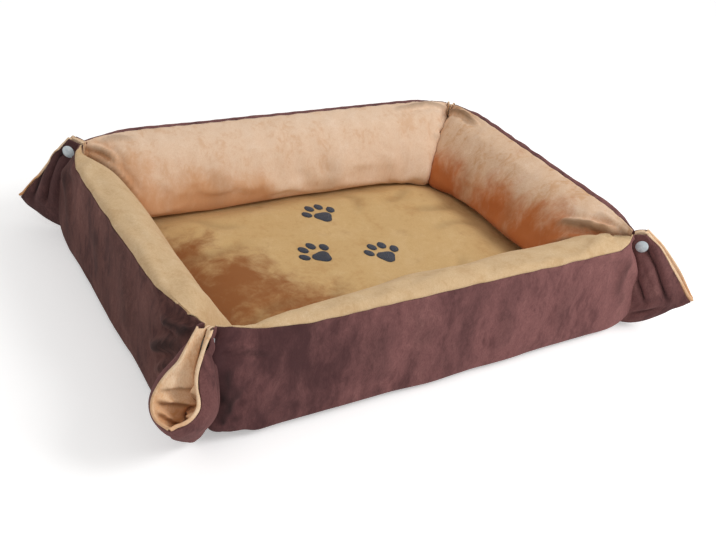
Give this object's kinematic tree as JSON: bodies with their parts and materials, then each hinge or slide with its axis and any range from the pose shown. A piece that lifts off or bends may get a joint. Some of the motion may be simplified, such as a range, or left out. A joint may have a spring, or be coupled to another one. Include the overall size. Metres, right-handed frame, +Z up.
{
  "type": "pet bed",
  "caption": "Rectangular fold-out pet bed: padded base, stuffed plush walls on sewn folds, and cloth ears held shut at the corners by press studs.",
  "frame": {"origin": "on the floor, under the middle of the bed's box", "axes": "+X along the bed's long side to the right, +Y to the back, +Z up"},
  "size_m": [0.6336, 0.4816, 0.125],
  "materials": {
    "brown_plush": "short-pile plush, maroon brown",
    "tan_plush": "short-pile plush, tan",
    "fibre_filling": "loose polyester fibre",
    "brown_thread": "sewing thread and binding",
    "tan_thread": "sewing thread",
    "navy_embroidery": "satin-stitch embroidery, navy",
    "stud_plastic": "moulded plastic, pearly"
  },
  "bodies": {
    "base": {"base_cover": "brown_plush", "base_lining": "tan_plush", "base_filling": "fibre_filling", "front_fold_seam": "brown_thread", "back_fold_seam": "brown_thread", "left_fold_seam": "brown_thread", "right_fold_seam": "brown_thread", "left_paw_print": "navy_embroidery", "right_paw_print": "navy_embroidery", "back_paw_print": "navy_embroidery"},
    "front_wall": {"front_wall_cover": "brown_plush", "front_wall_lining": "tan_plush", "front_wall_filling": "fibre_filling", "front_wall_end_seams": "tan_thread"},
    "back_wall": {"back_wall_cover": "brown_plush", "back_wall_lining": "tan_plush", "back_wall_filling": "fibre_filling", "back_wall_end_seams": "tan_thread"},
    "left_wall": {"left_wall_cover": "brown_plush", "left_wall_lining": "tan_plush", "left_wall_filling": "fibre_filling", "left_wall_end_seams": "tan_thread"},
    "right_wall": {"right_wall_cover": "brown_plush", "right_wall_lining": "tan_plush", "right_wall_filling": "fibre_filling", "right_wall_end_seams": "tan_thread"},
    "front_wall_left_ear": {"front_wall_left_ear_cover": "brown_plush", "front_wall_left_ear_lining": "tan_plush", "front_left_snap_back_cap": "stud_plastic", "front_left_snap_stud": "stud_plastic"},
    "left_wall_front_ear": {"left_wall_front_ear_cover": "brown_plush", "left_wall_front_ear_lining": "tan_plush", "front_left_snap_cap": "stud_plastic", "front_left_snap_socket": "stud_plastic"},
    "front_wall_right_ear": {"front_wall_right_ear_cover": "brown_plush", "front_wall_right_ear_lining": "tan_plush", "front_right_snap_cap": "stud_plastic", "front_right_snap_socket": "stud_plastic"},
    "right_wall_front_ear": {"right_wall_front_ear_cover": "brown_plush", "right_wall_front_ear_lining": "tan_plush", "front_right_snap_back_cap": "stud_plastic", "front_right_snap_stud": "stud_plastic"},
    "back_wall_left_ear": {"back_wall_left_ear_cover": "brown_plush", "back_wall_left_ear_lining": "tan_plush", "back_left_snap_cap": "stud_plastic", "back_left_snap_socket": "stud_plastic"},
    "left_wall_back_ear": {"left_wall_back_ear_cover": "brown_plush", "left_wall_back_ear_lining": "tan_plush", "back_left_snap_back_cap": "stud_plastic", "back_left_snap_stud": "stud_plastic"},
    "back_wall_right_ear": {"back_wall_right_ear_cover": "brown_plush", "back_wall_right_ear_lining": "tan_plush", "back_right_snap_back_cap": "stud_plastic", "back_right_snap_stud": "stud_plastic"},
    "right_wall_back_ear": {"right_wall_back_ear_cover": "brown_plush", "right_wall_back_ear_lining": "tan_plush", "back_right_snap_cap": "stud_plastic", "back_right_snap_socket": "stud_plastic"}
  },
  "joints": [
    {"name": "front_wall_fold", "type": "hinge", "parent": "base", "child": "front_wall", "pos_m": [0, -0.18, 0.025], "axis": [1, 0, 0], "range_deg": [0, 90]},
    {"name": "back_wall_fold", "type": "hinge", "parent": "base", "child": "back_wall", "pos_m": [0, 0.18, 0.025], "axis": [-1, 0, 0], "range_deg": [0, 90]},
    {"name": "left_wall_fold", "type": "hinge", "parent": "base", "child": "left_wall", "pos_m": [-0.256, 0, 0.025], "axis": [0, -1, 0], "range_deg": [0, 90]},
    {"name": "right_wall_fold", "type": "hinge", "parent": "base", "child": "right_wall", "pos_m": [0.256, 0, 0.025], "axis": [0, 1, 0], "range_deg": [0, 90]},
    {"name": "front_wall_left_ear_turn", "type": "hinge", "parent": "front_wall", "child": "front_wall_left_ear", "pos_m": [-0.2516, -0.18, 0.0725], "axis": [0, 0, -1], "range_deg": [0, 45], "deforming": ["front_wall_left_ear_cover", "front_wall_left_ear_lining"]},
    {"name": "front_wall_right_ear_turn", "type": "hinge", "parent": "front_wall", "child": "front_wall_right_ear", "pos_m": [0.2516, -0.18, 0.0725], "axis": [0, 0, 1], "range_deg": [0, 45], "deforming": ["front_wall_right_ear_cover", "front_wall_right_ear_lining"]},
    {"name": "back_wall_left_ear_turn", "type": "hinge", "parent": "back_wall", "child": "back_wall_left_ear", "pos_m": [-0.2516, 0.18, 0.0725], "axis": [0, 0, 1], "range_deg": [0, 45], "deforming": ["back_wall_left_ear_cover", "back_wall_left_ear_lining"]},
    {"name": "back_wall_right_ear_turn", "type": "hinge", "parent": "back_wall", "child": "back_wall_right_ear", "pos_m": [0.2516, 0.18, 0.0725], "axis": [0, 0, -1], "range_deg": [0, 45], "deforming": ["back_wall_right_ear_cover", "back_wall_right_ear_lining"]},
    {"name": "left_wall_front_ear_turn", "type": "hinge", "parent": "left_wall", "child": "left_wall_front_ear", "pos_m": [-0.256, -0.1756, 0.0725], "axis": [0, 0, 1], "range_deg": [0, 45], "deforming": ["left_wall_front_ear_cover", "left_wall_front_ear_lining"]},
    {"name": "left_wall_back_ear_turn", "type": "hinge", "parent": "left_wall", "child": "left_wall_back_ear", "pos_m": [-0.256, 0.1756, 0.0725], "axis": [0, 0, -1], "range_deg": [0, 45], "deforming": ["left_wall_back_ear_cover", "left_wall_back_ear_lining"]},
    {"name": "right_wall_front_ear_turn", "type": "hinge", "parent": "right_wall", "child": "right_wall_front_ear", "pos_m": [0.256, -0.1756, 0.0725], "axis": [0, 0, -1], "range_deg": [0, 45], "deforming": ["right_wall_front_ear_cover", "right_wall_front_ear_lining"]},
    {"name": "right_wall_back_ear_turn", "type": "hinge", "parent": "right_wall", "child": "right_wall_back_ear", "pos_m": [0.256, 0.1756, 0.0725], "axis": [0, 0, 1], "range_deg": [0, 45], "deforming": ["right_wall_back_ear_cover", "right_wall_back_ear_lining"]}
  ],
  "couplings": [
    {"joint": "front_wall_left_ear_turn", "follows": "front_wall_fold", "ratio": 0.5},
    {"joint": "front_wall_right_ear_turn", "follows": "front_wall_fold", "ratio": 0.5},
    {"joint": "back_wall_left_ear_turn", "follows": "back_wall_fold", "ratio": 0.5},
    {"joint": "back_wall_right_ear_turn", "follows": "back_wall_fold", "ratio": 0.5},
    {"joint": "left_wall_front_ear_turn", "follows": "left_wall_fold", "ratio": 0.5},
    {"joint": "left_wall_back_ear_turn", "follows": "left_wall_fold", "ratio": 0.5},
    {"joint": "right_wall_front_ear_turn", "follows": "right_wall_fold", "ratio": 0.5},
    {"joint": "right_wall_back_ear_turn", "follows": "right_wall_fold", "ratio": 0.5}
  ]
}
